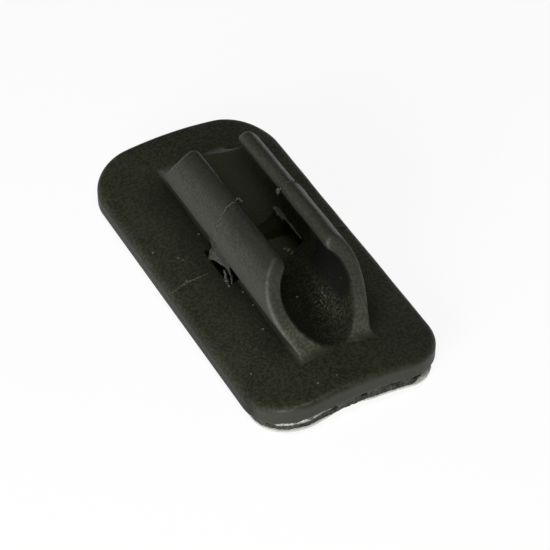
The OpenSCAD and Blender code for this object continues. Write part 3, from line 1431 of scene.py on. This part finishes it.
@dataclass(frozen=True)
class Studio:
    """Pale floor, soft light and the camera at the photograph's viewing angle.

    Lamps have a name, a place and a side in metres, and a power in watts.
    """

    azimuth: float = -28.19
    elevation: float = 43.78
    roll: float = 0.07
    distance: float = 0.2363
    lens: float = 158.09
    sensor: float = 36.0
    aim: Span = (14.04, 3.19)
    focal: float = 2415.2
    look_at: float = 1.416
    floor_half: float = 1.5
    floor_colour: Colour = (0.88, 0.88, 0.87)
    floor_glow: float = 0.88
    sky: Marks = ((0.0, 1.0), (0.15, 1.0), (0.3, 0.7), (0.5, 0.3), (0.7, 0.14), (1.0, 0.08))
    LAMPS = (("key", (-0.06, -0.12, 0.26), 0.10, 0.46), ("side", (-0.28, -0.21, 0.115), 0.15, 1.45))

    def camera(self) -> None:
        """Makes the camera, which looks at the plate's middle and then turns until that is off centre."""
        a, e, r = (math.radians(angle) for angle in (self.azimuth, self.elevation, self.roll))
        right = Vector((math.cos(a), math.sin(a), 0))
        back = Vector((math.sin(a) * math.cos(e), -math.cos(a) * math.cos(e), math.sin(e)))
        up = back.cross(right)
        right, up = math.cos(r) * right + math.sin(r) * up, math.cos(r) * up - math.sin(r) * right
        place = Vector((0, 0, self.look_at * MM)) + self.distance * back
        back = (back - right * self.aim[0] / self.focal + up * self.aim[1] / self.focal).normalized()
        right = (right - back * right.dot(back)).normalized()
        data = bpy.data.cameras.new("camera")
        data.lens = self.lens
        data.sensor_width = self.sensor
        data.clip_start = 0.01
        camera = bpy.data.objects.new("camera", data)
        matrix = Matrix((right, back.cross(right), back)).transposed().to_4x4()
        matrix.translation = place
        camera.matrix_world = matrix
        bpy.context.scene.collection.objects.link(camera)
        bpy.context.scene.camera = camera

    def floor(self) -> None:
        """Makes the floor, which the camera sees as nearly white and which keeps a soft shadow."""
        h = self.floor_half
        mesh = bpy.data.meshes.new("floor")
        mesh.from_pydata([(-h, -h, 0), (h, -h, 0), (h, h, 0), (-h, h, 0)], [], [(0, 1, 2, 3)])
        floor = bpy.data.objects.new("floor", mesh)
        bpy.context.scene.collection.objects.link(floor)
        on = Surface("pale_floor")
        camera, glossy, through = (
            on.node("ShaderNodeLightPath", {}, {}, f"Is {kind} Ray")
            for kind in ("Camera", "Glossy", "Transmission")
        )
        seen = camera.at_least(glossy).at_least(through) * self.floor_glow
        paper = on.node("ShaderNodeBsdfDiffuse", {}, {"Color": (*self.floor_colour, 1)})
        glow = on.node("ShaderNodeEmission", {}, {"Color": (1, 1, 1, 1), "Strength": 1.0})
        shader = on.node("ShaderNodeMixShader", {}, {0: seen, 1: paper, 2: glow})
        on.output("ShaderNodeOutputMaterial", shader)
        mesh.materials.append(on.material)

    def world(self) -> None:
        """Makes the surroundings: white at the horizon and below it, dim above, and dimmer to the right."""
        world = bpy.data.worlds.new("studio")
        bpy.context.scene.world = world
        world.use_nodes = True
        net = Net(world.node_tree)
        direction = net.node("ShaderNodeTexCoord", {}, {}, "Generated")
        high = net.split(direction, "Z")
        level = net.node("ShaderNodeValToRGB", {"stops": self.sky}, {0: high})
        aside = net.split(direction, "X").ramp(-0.8, 0.55, 1.0, 0.22)
        strength = aside.at_least(high.ramp(0.06, 0.2, 1.0, 0.0))
        light = net.node("ShaderNodeBackground", {}, {"Color": level, "Strength": strength})
        net.output("ShaderNodeOutputWorld", light)

    @staticmethod
    def lamp(name: str, place: Place, size: float, power: float) -> None:
        """Makes a square softbox that faces the part.

        Args:
            name: the lamp's name.
            place: where it hangs, metres.
            size: its side, metres.
            power: its power, watts.
        """
        data = bpy.data.lights.new(name, "AREA")
        data.size = size
        data.energy = power
        lamp = bpy.data.objects.new(name, data)
        lamp.location = place
        lamp.rotation_euler = (-Vector(place)).to_track_quat("-Z", "Y").to_euler()
        bpy.context.scene.collection.objects.link(lamp)

    def build(self) -> None:
        """Makes camera, floor, world and lamps, and sets the view transform."""
        self.camera()
        self.floor()
        self.world()
        for lamp in self.LAMPS:
            self.lamp(*lamp)
        bpy.context.scene.view_settings.view_transform = "Standard"


# The whole part


@dataclass
class CableGuide:
    """The part: a moulding of plate and channel, with foam pad and liner below."""

    arch: Arch = field(default_factory=Arch)
    window: Window = field(default_factory=Window)

    def channel(self) -> tuple[ChannelHalf, ChannelHalf]:
        """The channel's front half and its back half, which is a mould step smaller.

        Returns:
            Both halves.
        """
        shared = (self.arch, self.window)
        front = ChannelHalf(
            "channel_front", End.FRONT, *shared, bore_r=3.45, wall=1.60, lip_left=43.0, lip_right=47.0
        )
        back = ChannelHalf(
            "channel_back", End.BACK, *shared, bore_r=3.40, wall=1.50, lip_left=44.0, lip_right=46.0, lap=0.03
        )
        return front, back

    def build(self) -> None:
        """Builds and dresses every piece."""
        front, back = self.channel()
        grained = PLATE_FINISH.material()
        smooth = CHANNEL_FINISH.material()
        torn = FLASH_FINISH.material()
        self.dress(BasePlate(self.arch, self.window).build(), grained, Slot.MOULDING, "guide_body")
        for half in (front, back):
            self.dress(half.build(), smooth, Slot.MOULDING, "guide_body")
        finishes = (torn, torn, WEB_FINISH.material(), SCRAP_FINISH.material())
        for piece, finish in zip(MouldFlash(self.arch, front).build(), finishes):
            self.dress(piece, finish, Slot.MOULDING)
        layers = AdhesiveLayers(self.arch)
        foam = self.dress(layers.foam(), FOAM_FINISH.material(), Slot.FOAM, "foam_pad")
        self.dress(layers.liner(), LINER_FINISH.material(), Slot.LINER, "release_liner")
        self.dress(layers.bead(), BEAD_FINISH.material(), Slot.LINER)

    @staticmethod
    def dress(
        piece: bpy.types.Object, finish: bpy.types.Material, slot: Slot, *nodes: str
    ) -> bpy.types.Object:
        """Gives a piece its finish and its body.

        Args:
            piece: the piece.
            finish: its material.
            slot: the record's slot that it belongs to; it is not used.
            nodes: the solids that it stands for.

        Returns:
            The piece.
        """
        piece.data.materials.append(finish)
        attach(piece, BODY)
        if nodes:
            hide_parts(*nodes)
        LOG.info("%s rides on %s in %s", piece.name, BODY, finish.name)
        return piece


def main() -> None:
    """Loads the frame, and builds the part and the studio."""
    logging.basicConfig(level=logging.INFO, format="%(name)s: %(message)s")
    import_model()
    CableGuide().build()
    Studio().build()


if __name__ == "__main__":
    main()
